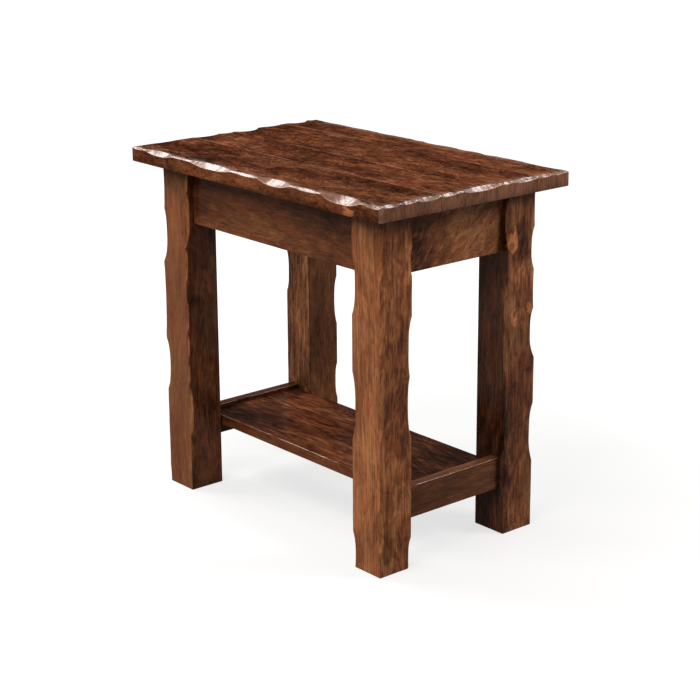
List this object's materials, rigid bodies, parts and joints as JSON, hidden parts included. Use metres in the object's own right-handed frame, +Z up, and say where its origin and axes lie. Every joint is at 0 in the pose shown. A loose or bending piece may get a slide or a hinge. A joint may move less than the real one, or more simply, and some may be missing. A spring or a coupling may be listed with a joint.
{
  "type": "rustic side table",
  "caption": "Small rectangular side table with hewn-edge plank top, square hewn legs, aprons and a low shelf carried between end stretchers.",
  "frame": {"origin": "on the floor under the middle of the top", "axes": "+Z up; X runs along the top's length, the longest extent; Y runs across its depth, the shortest extent, with the front towards -Y"},
  "size_m": [0.64, 0.404, 0.61],
  "materials": {
    "stained_top": "brown stain with mottled figure, satin lacquer",
    "stained_legs": "brown stain over straight grain and knots, satin lacquer",
    "stained_rails": "brown stain, satin lacquer",
    "stained_shelf": "brown stain with mottled figure, satin lacquer",
    "sealed_blocks": "planed hardwood, one thin coat of sealer",
    "plain_beech": "pressed beech, bare",
    "zinc_steel": "zinc plated"
  },
  "bodies": {
    "root": {"top_board_front": "stained_top", "top_board_second": "stained_top", "top_board_third": "stained_top", "top_board_back": "stained_top", "top_biscuits": "plain_beech", "leg_front_left": "stained_legs", "leg_front_right": "stained_legs", "leg_back_right": "stained_legs", "leg_back_left": "stained_legs", "apron_front": "stained_rails", "apron_back": "stained_rails", "apron_left": "stained_rails", "apron_right": "stained_rails", "stretcher_left": "stained_rails", "stretcher_right": "stained_rails", "shelf_board": "stained_shelf", "corner_block_front_left": "sealed_blocks", "corner_block_front_right": "sealed_blocks", "corner_block_back_right": "sealed_blocks", "corner_block_back_left": "sealed_blocks", "corner_washers": "zinc_steel", "corner_lag_screws": "zinc_steel", "top_buttons": "sealed_blocks", "button_screws": "zinc_steel"}
  },
  "joints": []
}
